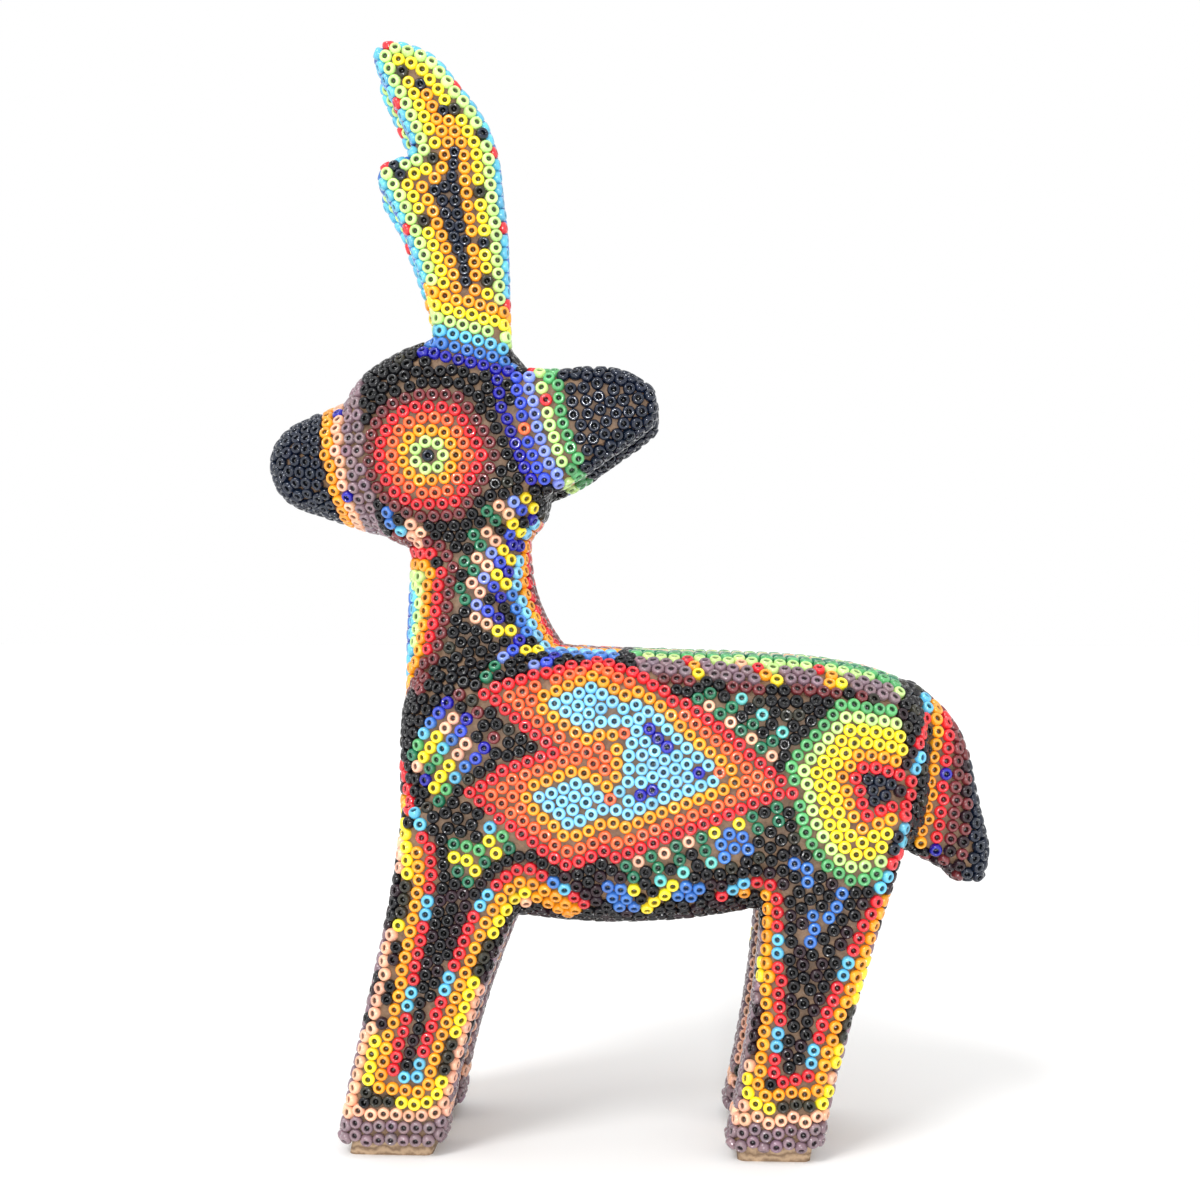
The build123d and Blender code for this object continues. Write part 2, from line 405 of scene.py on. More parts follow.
def inset_line(outline, depth):
    """The stretches of the line this far inside a closed outline (a depth below zero is outside)."""
    gap = 3.0
    slack = 0.05
    corners = np.array(outline, float)
    ahead = np.roll(corners, -1, axis=0)
    turn = np.sum(corners[:, 0] * ahead[:, 1] - ahead[:, 0] * corners[:, 1])
    inward = 1 if turn > 0 else -1

    def distance(points):
        run = ahead - corners
        t = ((points[:, None] - corners) * run).sum(2) / (run**2).sum(1)
        foot = corners + np.clip(t, 0, 1)[..., None] * run
        return np.linalg.norm(points[:, None] - foot, axis=2).min(1)

    line = []
    for i in range(len(corners)):
        run = unit(ahead[i] - corners[i])
        side = inward * np.array([-run[1], run[0]])
        before = unit(corners[i] - corners[i - 1])
        side_before = inward * np.array([-before[1], before[0]])
        for t in np.linspace(0, 1, 7):
            line.append(corners[i] + depth * unit(side_before * (1 - t) + side * t))
        for t in np.arange(0, np.linalg.norm(ahead[i] - corners[i]), FINE):
            line.append(corners[i] + t * run + depth * side)
    line = np.array(line)
    stretches = split_at_gaps(line[distance(line) > abs(depth) - slack], gap)
    if len(stretches) > 1 and np.linalg.norm(stretches[0][0] - stretches[-1][-1]) < gap:
        stretches[0] = stretches.pop() + stretches[0]
    elif len(stretches) == 1:
        stretches[0].append(stretches[0][0])
    return [np.array(s) for s in stretches if len(s) > 2]


def nested(outline, depths_colours, give=FIRM, keep=lambda x, z: True):
    """Rows of beads that follow an outline in the side view, each at its own depth inside it."""
    for depth, colours in depths_colours:
        for stretch in inset_line(outline, depth):
            run = []
            for x, z in stretch:
                if keep(x, z):
                    run.append((x, z))
                elif run:
                    side_row(run, colours, give=give)
                    run = []
            if run:
                side_row(run, colours, give=give)


def within(outline, x, z):
    """Whether a place in the side view is inside an outline."""
    inside = False
    for (x0, z0), (x1, z1) in zip(outline, outline[1:] + outline[:1]):
        if (z0 > z) != (z1 > z) and x < x0 + (z - z0) / (z1 - z0) * (x1 - x0):
            inside = not inside
    return inside


# ---- the designs ----

EYE = (-33.2, 116.6)
FISH = [
    (-25.6, 60.8), (-17.4, 54.4), (-9.4, 48.9), (-3.4, 51.6), (-1.2, 50.3), (6.7, 53.6), (18.9, 58.6),
    (27.3, 61.6), (15.0, 71.7), (3.0, 80.6), (-4.8, 82.6), (-14.0, 80.4), (-23.2, 77.2), (-17.3, 72.7),
    (-11.3, 67.7), (-13.8, 66.8), (-20.5, 63.7),
]
FISH_SKY = [
    (-14.2, 60.0), (-8.4, 55.4), (-2.5, 58.7), (-0.8, 57.2), (15.9, 63.4), (9.0, 69.6), (2.2, 75.2),
    (0.2, 74.4), (-5.6, 78.2), (-11.6, 75.7), (-6.2, 71.8), (0.8, 73.0), (1.6, 72.0), (-0.3, 61.4),
    (-2.4, 59.4), (-8.0, 62.6),
]
FLOWER = [
    (60.0, 74.0), (46.5, 73.6), (41.2, 75.2), (35.4, 75.3), (27.2, 65.8), (28.5, 60.0), (29.6, 54.4),
    (33.6, 48.4), (38.4, 46.7), (44.0, 49.2), (60.0, 49.0),
]
RUMP_LINE = [(44.2, 77.5), (46.6, 69.5), (46.0, 64.5), (44.8, 59.0), (43.7, 54.5), (42.2, 49.5)]


def eye():
    x, z = EYE
    for radius, count, colour in (
        (0.0, 1, "navy"), (2.3, 7, "lime"), (4.4, 13, "amber"), (6.35, 18, "orange"), (8.25, 24, "red"),
        (10.1, 29, "maroon"),
    ):
        for side in SIDES.values():
            for number in range(count):
                angle = 2 * pi * number / count
                place = flank(x + radius * cos(angle), z + radius * sin(angle), side)
                if place is not None:
                    lay(place, colour)


def fish():
    side_row(FISH, "red", closed=True)
    nested(FISH_SKY, [(0.0, "sky")])
    nested(FISH_SKY, [(-ROW, "amber")], keep=lambda x, z: within(FISH, x, z))
    nested(FISH, [(ROW, "orange")])
    nested(FISH_SKY, [(-2 * ROW, "orange")], give=0.4, keep=lambda x, z: within(FISH, x, z))
    nested(FISH_SKY, [(ROW, "sky")], give=0.5)


def flower():
    clear = 1.2
    edge, heights = zip(*RUMP_LINE[::-1])

    def left_of_rump(x, z):
        return x < np.interp(z, heights, edge) - clear

    shades = ("green", "lime", "yellow", "yellow", "amber", "red")
    nested(FLOWER, [(i * ROW, shade) for i, shade in enumerate(shades)], keep=left_of_rump)


def shoulder():
    shades = "ink cobalt blue cyan green teal"
    bow = 0.6
    for x0, z0, x1, z1 in (
        (-29.6, 75.6, -36.2, 66.4), (-26.3, 72.4, -33.6, 63.0), (-22.9, 68.0, -31.0, 59.2),
    ):
        side_row([(x0, z0), ((x0 + x1) / 2 - bow, (z0 + z1) / 2), (x1, z1)], shades)
    for x0, z0, x1, z1 in ((-28.7, 72.4, -35.0, 65.0), (-26.2, 68.8, -32.2, 61.4)):
        side_row([(x0, z0), (x1, z1)], "peach*2 yellow*3")
    stitches(("maroon", (-27.6, 76.8), (-24.4, 73.8), (-21.6, 69.8)))
    stitches(
        ("cyan", (-21.9, 55.3)), ("green", (-20.0, 53.6)), ("teal", (-19.0, 51.6)),
        ("yellow", (-22.4, 52.9), (-21.2, 50.8)), ("teal", (-28.2, 52.2)),
        ("green", (-26.1, 51.8), (-24.2, 51.3)), ("teal", (-23.2, 49.3)),
        ("yellow", (-28.2, 50.0), (-26.2, 49.4), (-24.9, 47.6)), ("teal", (-27.6, 47.6), (-25.8, 45.8)),
    )


def stitches(*groups):
    """Single beads on both sides. Each group is a colour and its places in the side view."""
    for colour, *places in groups:
        for x, z in places:
            for side in SIDES.values():
                place = flank(x, z, side)
                if place is not None:
                    lay(place, colour)


def neck_zigzag():
    """Slanting dashes of nine beads, one below the other down each side of the neck."""
    dash = (
        ("teal", (0.0, 0.0), (1.3, -1.8)), ("peach", (2.2, 0.6), (3.8, -0.8)), ("peri", (4.6, 1.4)),
        ("cobalt", (6.1, 0.1)), ("yellow", (6.9, 2.0), (8.1, 0.4)), ("ink", (7.7, -1.5)),
    )
    for x, z in ((-23.4, 107.4), (-25.8, 103.2), (-27.2, 98.9), (-28.2, 94.5)):
        stitches(*[(colour, *[(x + dx, z + dz) for dx, dz in steps]) for colour, *steps in dash])
    stitches(
        ("peri", (-25.5, 91.7)), ("cobalt", (-23.3, 91.1)), ("yellow", (-22.4, 93.1), (-20.8, 91.6)),
        ("ink", (-21.2, 89.6)), ("peach", (-25.3, 89.5), (-23.1, 88.7)),
        ("yellow", (-21.3, 87.4), (-19.2, 87.4)), ("ink", (-17.4, 86.2)), ("cobalt", (-18.8, 85.0)),
        ("peri", (-20.2, 83.3)), ("yellow", (-16.4, 84.2), (-14.9, 84.5)), ("peri", (-15.3, 82.3)),
        ("cobalt", (-13.2, 82.8)), ("ink", (-11.6, 83.4)), ("teal", (-21.9, 82.0), (-23.0, 80.0)),
    )


def chest_and_throat():
    """Arches under the chin, one inside the other, whose sides run down the front and close in."""

    def front(z):
        return belt((0, 0, z), UP, (-38, 0, z), FORWARD, LEFT)[0]

    chin, neck, chest = 102.0, 84.0, 68.0
    sections = {z: front(z) for z in np.arange(chest, chin, PITCH)}
    plan = (
        (13.5, "maroon"), (11.6, "red"), (9.7, "amber"), (7.7, "lime"), (5.8, "cyan"), (3.9, "blue"),
        (1.9, "ink"),
    )
    for number, (way, colour) in enumerate(plan):
        top = chin - ROW * number
        arch = front(top)
        below = [z for z in sections if z < top - 1.2]
        sides = [(z, way - 0.9 * max(neck - z, 0) + 0.1 * max(z - neck, 0)) for z in below]
        sides = [(z, s) for z, s in sides if s >= 0]
        path = [sections[z](-s) for z, s in sides] + [arch(s) for s in np.linspace(-way, way, 9)]
        lay_row(path + [sections[z](s) for z, s in sides[::-1]], colour)
    lay_row([sections[z](0) for z in sections if z < neck + 4], "navy")


LEG_ROWS = (  # places in the side view, colours and where in the colours the row starts
    (
        (-38.6, 64.5), (-36.5, 59.0), (-34.5, 55.6), (-32.8, 52.0), (-32.3, 47.8), (-33.0, 41.2),
        (-34.7, 31.2), (-36.3, 23.8), (-38.0, 16.9), (-38.2, 14.7), (-36.6, 13.3), "red*5 cyan*2", 0,
    ),
    (
        (-7.2, 41.9), (-11.3, 45.4), (-14.8, 47.8), (-17.2, 47.9), (-21.0, 45.4), (-23.9, 41.6),
        (-27.7, 33.1), (-30.9, 24.4), (-33.4, 17.8), (-34.6, 13.7), "cyan*2 red*5", 5,
    ),
    (
        (16.0, 43.5), (18.6, 45.3), (20.0, 46.3), (22.3, 45.9), (24.1, 44.8), (24.6, 40.6), (24.6, 35.6),
        (24.8, 26.4), (24.7, 19.4), (24.0, 14.4), (26.1, 14.0), (28.3, 14.3), (30.5, 15.6), (31.7, 20.0),
        (34.8, 28.1), (37.1, 34.6), (40.2, 40.9), (42.8, 46.6), (45.2, 51.0), "cyan*2 red*5", 6,
    ),
    (
        (-38.5, 58.5), (-36.6, 56.0), (-35.0, 53.0), (-34.3, 47.8), (-34.9, 41.0), (-36.3, 34.4),
        (-38.2, 25.4), (-40.1, 16.3), (-40.5, 11.7), (-36.6, 11.4), (-32.9, 11.5), (-30.9, 18.2),
        (-28.7, 24.8), (-25.4, 33.4), (-21.8, 41.5), (-18.3, 44.8), (-16.0, 45.9), (-12.5, 43.8),
        (-8.3, 40.8), "amber", 0,
    ),
    ((-9.8, 39.9), (-12.2, 41.4), (-14.4, 43.2), "amber", 0),
    (
        (19.3, 44.1), (21.0, 45.0), (22.6, 43.9), (22.7, 39.4), (22.6, 34.7), (22.8, 25.5), (22.0, 18.6),
        (21.8, 13.2), (23.0, 11.7), (28.7, 12.0), (31.6, 12.3), (33.8, 19.6), (36.1, 26.1), (38.6, 32.6),
        (41.0, 38.6), (44.0, 44.8), "amber", 0,
    ),
    (
        (-38.4, 56.0), (-37.2, 54.4), (-36.6, 52.0), (-36.3, 48.6), (-36.8, 41.3), (-38.3, 32.2),
        (-40.3, 23.1), (-42.0, 16.3), (-42.5, 9.9), (-37.0, 9.5), (-31.0, 9.7), (-28.9, 17.3),
        (-26.7, 23.8), (-23.5, 32.2), (-21.0, 38.7), (-18.0, 42.7), (-16.1, 43.8), "yellow*5 smoky*3", 0,
    ),
    (
        (21.6, 40.0), (21.6, 24.5), (20.4, 17.9), (20.0, 11.2), (21.9, 9.6), (26.3, 9.7), (31.0, 9.8),
        (33.2, 11.4), (35.7, 20.1), (38.0, 26.6), (40.2, 33.0), "yellow*5 smoky*3", 0,
    ),
    ((-38.2, 51.5), (-37.9, 47.0), (-38.8, 38.5), (-41.1, 28.0), (-43.0, 19.0), (-44.3, 11.0), "peach", 0),
    ((-16.9, 41.8), (-18.9, 40.7), (-21.4, 34.9), (-25.0, 24.0), (-27.6, 15.7), (-29.6, 8.8), "peach", 0),
)


def legs():
    """Rows up the front and back edges of each leg, and rings round its foot."""
    edge = ((5.1, "peach"), (2.6, "mauve"), (0.0, "mauve"))
    inner = ((7.5, "smoky*3 yellow*5"), (9.7, "amber"), (11.7, "red*5 cyan*2"), (13.6, "aubergine"))
    toes = ((9.5, "yellow*5 smoky*3", 7.0), (11.6, "amber", 5.6), (13.7, "red", 3.4))
    for *places, colours, start in LEG_ROWS:
        side_row(curve(places), colours, start)
    for side in SIDES.values():
        for x_foot in (-39.2, 24.4):

            def section(z, zero, ahead):
                return belt((0, 0, z), UP, (x_foot + z * 0.22, side * 17, z), zero, ahead)

            for z, colour in ((3.2, "mauve"), (5.3, "mauve"), (7.4, "peach")):
                place, way = section(z, (0, side, 0), UP)
                ring = [place(s) for s in np.linspace(0, way, 60, endpoint=False)]
                lay_row(ring, colour, closed=True)
            for z, colours, reach in toes:
                place, way = section(z, (0, side, 0), BACKWARD)
                middle = leg_middle(place, way) + way / 2
                lay_row([place(middle + s) for s in np.linspace(-reach, reach, 9)], colours)
            for zero in (FORWARD, BACKWARD):
                stations = [section(z, zero, (0, side, 0)) for z in np.arange(9.4, 38.0, 2.1)]
                columns(stations, edge)
                columns(stations, inner, signs=(-1,))


def leg_middle(place, way):
    """The way round to the middle of a leg's outer face, from its ends along X."""
    flat = 0.4
    around = np.linspace(-way / 4, way / 4, 25)
    ys = np.abs([place(s)[1] for s in around])
    return around[ys > ys.max() - flat].mean()


def muzzle():
    tilt = (cos(radians(9)), 0, sin(radians(9)))
    for x, colours in ((-50.9, "amber"), (-48.9, "peach*5 ink"), (-46.9, "mauve"), (-44.9, "mauve")):
        lay_belt((x, 0, 117), tilt, (x, -10, 117), colours)
    x = -42.6
    for z in (108.6, 105.7):
        row = [(x, z), (x + 2.1, z - 0.8), (x + 4.0, z - 2.0), (x + 6.2, z - 3.2)]
        side_row(row, "ink blue cyan peach")


def crown():
    middle = ((-48.5, 127.5), (-46.5, 130.5), (-42.0, 134.5), (-37.0, 136.8), (-33.0, 137.5))
    lay_row([(x, 0, z) for x, z in middle], "ink")
    side_row([(-33.6, 138.2), (-20.6, 134.9)], "cyan")
    side_row([(-34.0, 136.3), (-19.4, 132.7)], "blue")
    side_row([(-34.4, 134.4), (-17.8, 131.0)], "ink")


def ears():
    side_row(curve([(-21.5, 129.2), (-19.3, 120.8), (-16.0, 112.4)]), "ink")
    side_row(curve([(-18.6, 130.1), (-16.7, 119.5), (-13.8, 112.5)]), "cobalt*4 orange")
    side_row(curve([(-16.2, 130.1), (-14.4, 119.3), (-10.7, 111.8)]), "peri")
    tilt = (cos(radians(15)), 0, sin(radians(15)))
    for side in SIDES.values():
        for x, colours in ((-12.6, "lime*3 red"), (-10.5, "green")):
            lay_belt((x, 0, 122), tilt, (x, side * 12.5, 122), colours, zero=(0, side, 0))


ANTLER = [
    (-6.8, 131.0), (-7.0, 141.0), (-12.6, 156.8), (-17.6, 165.2), (-9.8, 168.2), (-18.6, 187.2),
    (-7.5, 186.4), (3.8, 172.0), (5.9, 154.0), (6.6, 131.0),
]
ANTLER_STEM = {"left": -26.2, "right": -28.0}  # x of each stem
ANTLER_OUT = 6.8  # from the middle of the deer to an antler's middle plane
ANTLER_HALF = 4.4  # from that plane to an antler's face
ANTLER_TURN = radians(6)
ANTLER_SLOPE = 0.26  # of the rings round the stem


def antler_place(word, x, z, out):
    """A place on an antler: along it, up, and out from its middle plane."""
    side = SIDES[word]
    along = np.array([cos(ANTLER_TURN), -side * sin(ANTLER_TURN), 0])
    outward = np.array([sin(ANTLER_TURN), side * cos(ANTLER_TURN), 0])
    return np.array([ANTLER_STEM[word], side * ANTLER_OUT, z]) + x * along + out * outward


def antlers():
    slope = (ANTLER_SLOPE, 0, 0.966)
    for word, side in SIDES.items():
        for z, colour in ((138.4, "lime"), (140.3, "yellow"), (142.2, "amber")):
            near = antler_place(word, 0, z, ANTLER_HALF)
            lay_belt((near[0], 0, z), slope, near, colour, zero=(0, side, 0))
        for depth, out, colours in (
            (0.0, 0.0, "blue"),
            (0.0, 1.95, "cyan*5 red"),
            (1.4, 4.1, "lime"),
            (3.55, ANTLER_HALF, "yellow*6 smoky"),
            (5.55, ANTLER_HALF, "amber"),
        ):
            for face in (1, -1) if out else (1,):
                for stretch in inset_line(ANTLER, depth) if depth else [spaced(ANTLER + ANTLER[:1], FINE)]:
                    above = [(x, z) for x, z in stretch if z > 143.5 - (x + 5) * ANTLER_SLOPE]
                    lay_antler_row([antler_place(word, x, z, face * out) for x, z in above], colours)


def lay_antler_row(path, colours):
    """Lays the stretches of a row that the stem's rings don't cut."""
    gap = 4.0
    for run in split_at_gaps(path, gap):
        if len(run) > 3:
            on_skin = [touch(p)[0] for p in run]
            lay_row(on_skin, colours)


def nape_and_back():
    """Rows from the nape down into the back, and along the back to the rump."""
    pivot = np.array([-2.0, 0, 97.0])  # the nape bends into the back round this place
    stations = [belt((0, 0, z), UP, (-16, 0, z), BACKWARD, LEFT) for z in (105.0, 102.5, 100.0, 98.0)]
    for turn in np.radians(np.arange(8, 90, 9)):
        toward = np.array([-cos(turn), 0, -sin(turn)])
        stations.append(belt(pivot, (-sin(turn), 0, cos(turn)), pivot + 13 * toward, -toward, LEFT))
    nape = ((0.0, "maroon"), (2.0, "maroon"), (3.9, "red"), (5.9, "amber"), (7.8, "sky"), (9.8, "blue"))
    lead = (3.9, 3.1, 2.2, 1.4, 0.7)  # the rows come closer together, towards the head
    for way, colour in nape:
        ways = [way - less for less in lead] + [way] * (len(stations) - len(lead))
        for sign in (-1, 1):
            lay_row([place(sign * s) for (place, _), s in zip(stations, ways) if s >= 0], colour)
    stations = [belt((x, 0, 80), BACKWARD, (x, 0, 84), UP, LEFT) for x in np.arange(3.4, 46.5, PITCH)]
    for x, z in ((12.6, 80.6), (24.4, 79.6), (35.4, 79.2)):
        stitches(
            ("yellow", (x, z)), ("amber", (x - 1.1, z + 1.2)), ("red", (x - 2.3, z + 2.1)),
            ("black", (x + 1.1, z - 1.4)),
        )
    for colour, *places in (
        ("maroon", (6.6, 80.1), (16.0, 78.8), (27.6, 78.3), (32.2, 78.1), (38.5, 77.0), (43.0, 76.0),
         (45.1, 74.9)),
        ("mauve", (3.2, 81.8), (15.0, 80.5), (26.6, 79.8), (33.2, 79.5), (37.6, 78.9), (42.1, 77.8),
         (44.4, 76.7)),
        ("mauve", (2.4, 82.7), (13.5, 81.9), (25.3, 81.1), (31.9, 80.7), (36.5, 80.1), (40.7, 79.3),
         (43.7, 78.3)),
    ):
        side_row(curve(places), colour)
    back = (
        (12.1, "peach"), (10.1, "lime"), (8.1, "green"), (6.1, "teal"), (4.1, "green"), (2.1, "lime"),
        (0.0, "peach"),
    )
    columns(stations, back)


def rump_and_tail():
    for colours, *places in (
        ("aubergine", *RUMP_LINE),
        ("cyan*2 red*4", (51.0, 76.0), (50.7, 72.9), (48.7, 68.1), (47.7, 63.6), (46.3, 57.3),
         (45.6, 52.9)),
        ("amber", (53.2, 75.5), (52.2, 66.0), (51.0, 58.0), (49.4, 51.5)),
        ("red*5 ink", (54.9, 73.6), (53.9, 65.0), (52.9, 56.0), (51.6, 50.2)),
        ("maroon", (56.4, 70.5), (55.6, 62.0), (54.6, 52.0)),
        ("maroon aubergine", (57.8, 66.0), (57.4, 60.0), (56.6, 50.0)),
    ):
        side_row(curve(places), colours)


def dashes_by_the_fish():
    """Short dashes of single beads across the fish's upper and lower right edges."""
    for number in range(4):
        x, z = 13.7 + 3.4 * number, 75.3 - 2.8 * number
        end = "turquoise" if number else "black"
        stitches(("peach", (x, z)), ("teal", (x - 1.8, z + 1.5), (x, z + 2.4)), (end, (x + 1.7, z + 3.8)))
    stitches(
        ("peach", (2.4, 49.7), (6.5, 51.1), (10.4, 52.7)), ("yellow", (14.7, 54.3), (18.6, 55.9)),
        ("teal", (0.3, 48.6), (1.2, 46.8), (4.4, 50.5), (5.3, 48.6), (8.4, 52.1), (8.9, 50.1),
         (12.6, 53.4), (13.1, 51.5)), ("turquoise", (6.0, 46.7), (9.7, 48.0), (13.8, 49.4)),
        ("yellow", (1.3, 44.8), (3.6, 40.9), (7.8, 45.6), (6.5, 43.8), (4.8, 42.6)),
        ("blue", (17.0, 54.2), (19.2, 53.7), (15.8, 52.3), (18.0, 51.9), (20.1, 51.6), (16.5, 50.3)),
        ("teal", (20.7, 57.2), (21.5, 55.2), (24.8, 58.6), (25.4, 56.4)),
        ("blue", (-3.1, 45.1), (-0.9, 45.0), (-2.1, 43.3), (0.1, 43.0), (-1.0, 41.6), (1.4, 41.2),
         (9.9, 45.3), (12.2, 45.2), (8.6, 43.5), (10.8, 43.4), (27.6, 49.6), (29.6, 48.8), (29.9, 46.6),
         (35.3, 44.7), (34.4, 42.7), (33.3, 40.8), (30.7, 41.0), (30.4, 38.8), (30.3, 36.6)),
    )


for design in (
    eye, fish, flower, shoulder, neck_zigzag, muzzle, ears, crown, antlers, dashes_by_the_fish, legs,
    chest_and_throat, nape_and_back, rump_and_tail,
):
    design()


# ---- filling and settling ----


def loose_colour(middle):
    """What colour the beads have that are filled in between the rows."""
    x, y, z = middle
    pick = rng.random()
    if z > 142:
        on_a_face = abs(abs(y) - ANTLER_OUT) > 3.2
        return "navy" if on_a_face else "blue"
    throat = x < -33 and 77 < z < 104
    muzzle_rings = z > 100 and -51 < x - 0.16 * (117 - z) < -43.5
    back_rows = 78.5 < z < 90 and 1 < x < 45 and abs(y) < 16
    nape_rows = 84 < z < 104 and x > -20 + 0.5 * max(92 - z, 0) and abs(y) < 8
    if throat or muzzle_rings or back_rows or nape_rows or z > 136.5:
        return beads[laid.find(middle)[1]][2]
    nose = z > 100 and x < -51.0 - (z - 117) * 0.16
    ear_tip = z > 108 and x > -11.0 - (z - 122) * 0.27
    tail = z > 40 and x > 57.5
    if nose or ear_tip or tail:
        return "navy"
    rump = z > 40 and x > 50.5
    if rump:
        return "aubergine" if pick < 0.5 else "maroon"
    foot = z < 8.5
    if foot:
        return "mauve"
    if within(FISH_SKY, x, z):
        return "sky"
    if within(FISH, x, z):
        return "orange"
    if within(FLOWER, x, z) and x < 44.5:
        return "navy"
    if z < 48:
        return "aubergine" if pick < 0.4 else "black"
    return "black" if pick < 0.94 else "smoky"


def candidates(count):
    """Places scattered evenly over the skin."""
    a, b, c = (skin_points[skin_triangles[:, i]] for i in range(3))
    area = np.linalg.norm(np.cross(b - a, c - a), axis=1)
    chosen = rng.choice(len(area), count, p=area / area.sum())
    u, v = rng.random(count), rng.random(count)
    u, v = np.where(u + v > 1, 1 - u, u), np.where(u + v > 1, 1 - v, v)
    return a[chosen] + u[:, None] * (b - a)[chosen] + v[:, None] * (c - a)[chosen]


def fill(count, reach):
    for place in candidates(count):
        lay(place, None, LOOSE, reach)


def settle(times):
    """Neighbours closer than a pitch push each other apart along the skin. A design gives way least."""
    push = 0.3
    longest = 0.5
    for _ in range(times):
        tree = kdtree.KDTree(len(beads))
        for index, bead in enumerate(beads):
            tree.insert(bead[0], index)
        tree.balance()
        moves = np.zeros((len(beads), 3))
        for index, bead in enumerate(beads):
            for place, other, gap in tree.find_range(bead[0], PITCH):
                if other > index and gap > 1e-6:
                    away = (bead[0] - np.array(place)) / gap * (PITCH - gap) * push
                    share = bead[3] / (bead[3] + beads[other][3])
                    moves[index] += away * 2 * share
                    moves[other] -= away * 2 * (1 - share)
        for bead, move in zip(beads, moves):
            if move @ move > 1e-8:
                size = np.linalg.norm(move)
                place, out = touch(bead[0] + SINK * bead[1] + move * min(1, longest / size))
                middle = place - SINK * out
                if middle[2] > BARE_HOOF:
                    bead[0], bead[1] = middle, out


def regrid():
    cells.clear()
    for index, bead in enumerate(beads):
        cells.setdefault(cell_of(bead[0]), []).append(index)


# Each pass: how many places are tried, how close a bead may come to another, and the rounds of settling
for scattered, reach, times in ((60000, 1.60, 14), (40000, 1.60, 12), (40000, 1.62, 12), (40000, 1.64, 12)):
    fill(scattered, reach)
    settle(times)
    regrid()

every_bead, beads = sorted(beads, key=lambda bead: bead[3]), []
cells.clear()
for bead in every_bead:
    if not crowded(bead[0], CLASH):
        cells.setdefault(cell_of(bead[0]), []).append(len(beads))
        beads.append(bead)
laid = kdtree.KDTree(len(beads))  # the beads of the designs
for index, bead in enumerate(beads):
    if bead[2]:
        laid.insert(bead[0], index)
laid.balance()
for bead in beads:
    bead[2] = bead[2] or loose_colour(bead[0])


def recolour(places, colour):
    """On both sides, the bead nearest to each place in the side view takes this colour."""
    for x, z in places:
        for side in SIDES.values():
            spot = flank(x, z, side)
            if spot is not None:
                nearest = min(beads, key=lambda bead: ((bead[0] - spot) ** 2).sum())
                nearest[2] = colour


recolour(
    [(3.3, 71.2), (5.0, 69.8), (6.7, 68.2), (11.9, 64.0), (5.5, 61.6), (3.6, 61.0), (1.7, 60.4)], "ink"
)
recolour([(-11.5, 46.0), (27.6, 49.6)], "blue")


# ---- the bead glass ----

SEGMENTS = 14
PROFILE = [  # of one bead: out from its axis and up along it, in millimetres
    (0.74, -0.70), (1.00, -0.48), (1.065, -0.05), (1.02, 0.34), (0.86, 0.60), (0.66, 0.69), (0.48, 0.60),
    (0.39, 0.38), (0.36, 0.02),
]
PAINTED_HOLE_SHADES = (0.75, 0.3, 0.1)  # painted shade of the last rings of the profile, down the hole, where the real hole lies in shadow
# painted shade of the point that closes the hole: a near-black cap where the real hole is only shadow
PAINTED_HOLE_CAP_SHADE = 0.05
PROFILE_WIDTH = 2 * max(radius for radius, _ in PROFILE)


def bead_shape():
    """One bead round the Z axis: its points, its triangles, and the painted shade of each point's ring,
    dark down the hole.
    """
    points = [(0, 0, PROFILE[0][1])]
    shade = [1.0]
    # painted shade: full colour on the outside, darker and darker down the hole
    painted_ring_shades = [1.0] * (len(PROFILE) - len(PAINTED_HOLE_SHADES)) + list(PAINTED_HOLE_SHADES)
    for (radius, height), painted_ring_shade in zip(PROFILE, painted_ring_shades):
        for i in range(SEGMENTS):
            angle = 2 * pi * i / SEGMENTS
            points.append((radius * cos(angle), radius * sin(angle), height))
            shade.append(painted_ring_shade)
    # a near-black point closes the hole, painted shade where the real hole opens onto shadowed wax
    points.append((0, 0, PROFILE[-1][1] - 0.1))
    shade.append(PAINTED_HOLE_CAP_SHADE)
    triangles = []
    last = len(points) - 1
    for i in range(SEGMENTS):
        j = (i + 1) % SEGMENTS
        triangles.append((0, 1 + j, 1 + i))
        for ring in range(len(PROFILE) - 1):
            low, high = 1 + ring * SEGMENTS, 1 + (ring + 1) * SEGMENTS
            triangles.append((low + i, low + j, high + j))
            triangles.append((low + i, high + j, high + i))
        top = 1 + (len(PROFILE) - 1) * SEGMENTS
        triangles.append((top + i, top + j, last))
    return np.array(points), np.array(triangles), np.array(shade)


def frames_for(outs):
    """For each way out, a turned and slightly tipped frame, as beads never lie quite true."""
    tip = 0.045
    tipped = unit(outs + rng.normal(0, tip, outs.shape))
    spin = rng.random(len(outs)) * 2 * pi
    helper = np.where(np.abs(tipped[:, 2:3]) < 0.9, [[0, 0, 1.0]], [[1.0, 0, 0]])
    side = unit(np.cross(helper, tipped))
    other = np.cross(tipped, side)
    first = side * np.cos(spin)[:, None] + other * np.sin(spin)[:, None]
    return first, np.cross(tipped, first), tipped


